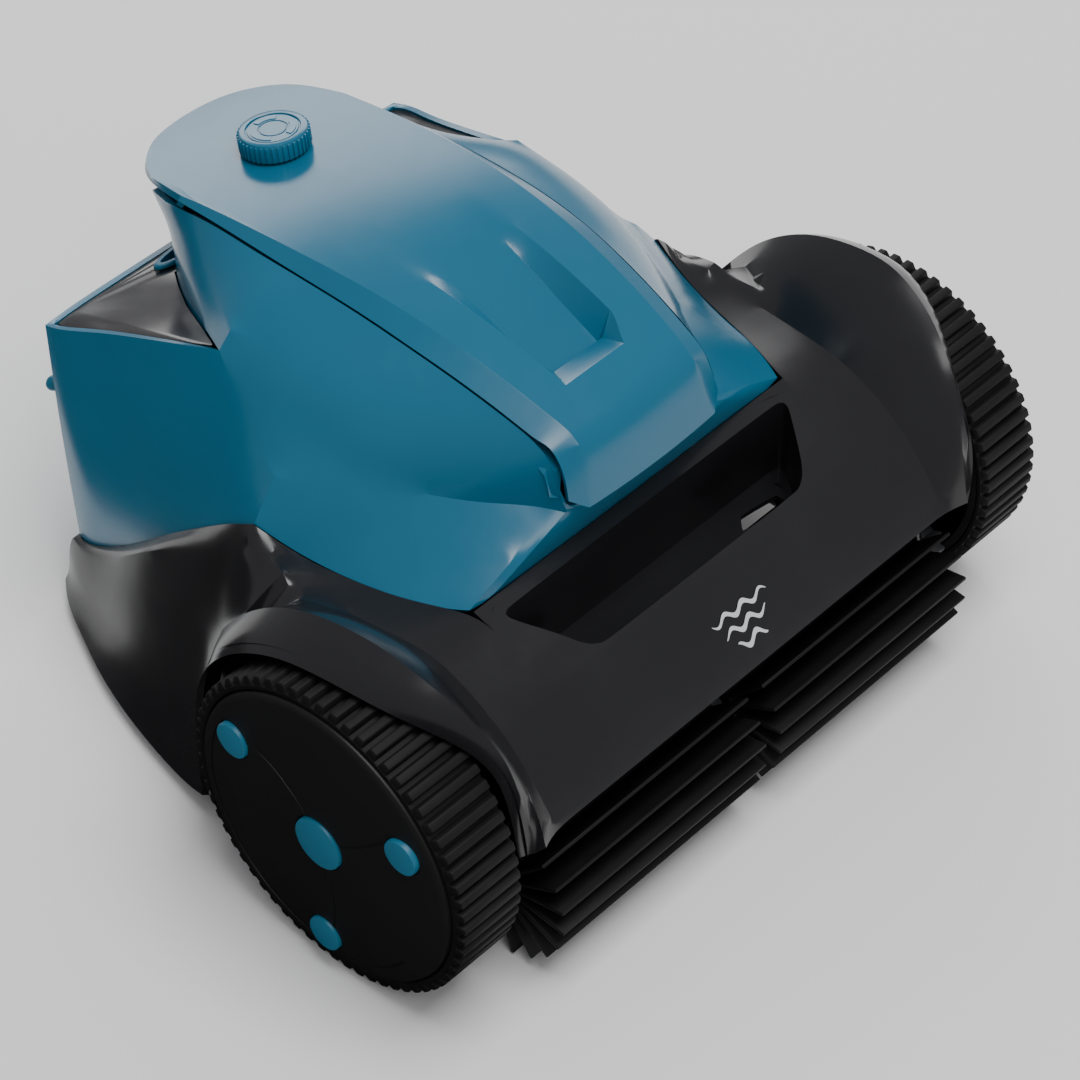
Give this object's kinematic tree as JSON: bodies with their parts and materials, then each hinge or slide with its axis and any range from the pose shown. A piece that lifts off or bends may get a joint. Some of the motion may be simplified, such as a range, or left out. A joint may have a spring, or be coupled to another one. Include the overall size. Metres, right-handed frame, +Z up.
{
  "type": "robotic pool cleaner",
  "caption": "Cordless robotic pool cleaner with two ribbed drive wheels, a split rubber brush, a hinged bonnet over its filter basket, and a top mode dial.",
  "frame": {"origin": "centre of the bounding box at floor level", "axes": "+Z up, -Y the front with the brush, +X to the right of someone who faces the front"},
  "size_m": [0.376, 0.3425, 0.2213],
  "materials": {
    "teal_shell": "gloss moulded ABS",
    "teal_caps": "satin moulded ABS",
    "anthracite": "gloss moulded ABS",
    "satin_black": "satin moulded ABS",
    "tread": "matt moulded rubber",
    "brush": "matt moulded rubber",
    "seal": "matt moulded rubber",
    "steel": "turned stainless steel",
    "nylon": "moulded nylon",
    "housing": "satin moulded ABS",
    "filter_fabric": "fine woven polyester mesh"
  },
  "bodies": {
    "root": {"base_screw_1": "steel", "base_screw_2": "steel", "base_screw_3": "steel", "base_screw_4": "steel", "battery_pack": "housing", "body_shell": "teal_shell", "brush_hanger": "nylon", "chassis_base": "anthracite", "chassis_cover": "anthracite", "control_box": "satin_black", "drive_motor_left": "steel", "drive_motor_right": "steel", "filter_basket": "housing", "filter_mesh": "filter_fabric", "filter_seal": "seal", "hinge_pin": "steel", "housing_gasket": "seal", "motor_housing": "housing", "motor_housing_cap": "satin_black", "outlet_duct": "satin_black", "outlet_grille": "satin_black", "outlet_nozzle": "teal_caps", "rear_axle_left": "steel", "rear_axle_right": "steel", "rear_deck": "anthracite", "tow_stud": "teal_shell", "wheel_axle_left": "steel", "wheel_axle_right": "steel"},
    "bonnet": {"bonnet_lid": "teal_shell", "dial_seal": "seal"},
    "dial": {"selector_dial": "teal_shell", "dial_shaft": "steel"},
    "bail": {"filter_handle": "housing"},
    "flap": {"intake_flap": "seal"},
    "pump_rotor": {"impeller": "satin_black", "impeller_shaft": "steel"},
    "wheel_left": {"wheel_rim_left": "satin_black", "wheel_tyre_left": "tread", "wheel_gear_left": "nylon", "hub_cap_left": "teal_caps", "wheel_cap_left_1": "teal_caps", "wheel_cap_left_2": "teal_caps", "wheel_cap_left_3": "teal_caps"},
    "brush_left": {"brush_blades_left": "brush", "brush_shaft_left": "steel", "brush_gear_left": "nylon"},
    "pinion_left": {"drive_pinion_left": "nylon"},
    "trailing_wheel_left": {"rear_wheel_left": "tread"},
    "wheel_right": {"wheel_rim_right": "satin_black", "wheel_tyre_right": "tread", "wheel_gear_right": "nylon", "hub_cap_right": "teal_caps", "wheel_cap_right_1": "teal_caps", "wheel_cap_right_2": "teal_caps", "wheel_cap_right_3": "teal_caps"},
    "brush_right": {"brush_blades_right": "brush", "brush_shaft_right": "steel", "brush_gear_right": "nylon"},
    "pinion_right": {"drive_pinion_right": "nylon"},
    "trailing_wheel_right": {"rear_wheel_right": "tread"}
  },
  "joints": [
    {"name": "bonnet_hinge", "type": "hinge", "parent": "root", "child": "bonnet", "pos_m": [0, 0.15554, 0.185], "axis": [-1, 0, 0], "range_deg": [0, 65]},
    {"name": "dial_turn", "type": "hinge", "parent": "bonnet", "child": "dial", "pos_m": [0, 0.11354, 0.20936], "axis": [0, 0.1539, 0.9881], "range_deg": [-60, 60]},
    {"name": "bail_swing", "type": "hinge", "parent": "root", "child": "bail", "pos_m": [0, -0.00146, 0.154], "axis": [-1, 0, 0], "range_deg": [0, 90]},
    {"name": "flap_swing", "type": "hinge", "parent": "root", "child": "flap", "pos_m": [0, -0.03266, 0.03], "axis": [-1, 0, 0], "range_deg": [0, 50]},
    {"name": "impeller_spin", "type": "hinge", "parent": "root", "child": "pump_rotor", "pos_m": [0, 0.09954, 0.112], "axis": [0, 0, 1], "continuous": true},
    {"name": "wheel_spin_left", "type": "hinge", "parent": "root", "child": "wheel_left", "pos_m": [0, -0.09046, 0.075], "axis": [1, 0, 0], "continuous": true},
    {"name": "brush_spin_left", "type": "hinge", "parent": "root", "child": "brush_left", "pos_m": [0, -0.13236, 0.039], "axis": [1, 0, 0], "continuous": true},
    {"name": "pinion_spin_left", "type": "hinge", "parent": "root", "child": "pinion_left", "pos_m": [0, -0.04183, 0.0927], "axis": [1, 0, 0], "continuous": true},
    {"name": "trailing_spin_left", "type": "hinge", "parent": "root", "child": "trailing_wheel_left", "pos_m": [0, 0.10954, 0.015], "axis": [1, 0, 0], "continuous": true},
    {"name": "wheel_spin_right", "type": "hinge", "parent": "root", "child": "wheel_right", "pos_m": [0, -0.09046, 0.075], "axis": [1, 0, 0], "continuous": true},
    {"name": "brush_spin_right", "type": "hinge", "parent": "root", "child": "brush_right", "pos_m": [0, -0.13236, 0.039], "axis": [1, 0, 0], "continuous": true},
    {"name": "pinion_spin_right", "type": "hinge", "parent": "root", "child": "pinion_right", "pos_m": [0, -0.04183, 0.0927], "axis": [1, 0, 0], "continuous": true},
    {"name": "trailing_spin_right", "type": "hinge", "parent": "root", "child": "trailing_wheel_right", "pos_m": [0, 0.10954, 0.015], "axis": [1, 0, 0], "continuous": true}
  ],
  "couplings": [
    {"joint": "brush_spin_left", "follows": "wheel_spin_left", "ratio": -3},
    {"joint": "pinion_spin_left", "follows": "wheel_spin_left", "ratio": -4},
    {"joint": "brush_spin_right", "follows": "wheel_spin_right", "ratio": -3},
    {"joint": "pinion_spin_right", "follows": "wheel_spin_right", "ratio": -4}
  ]
}
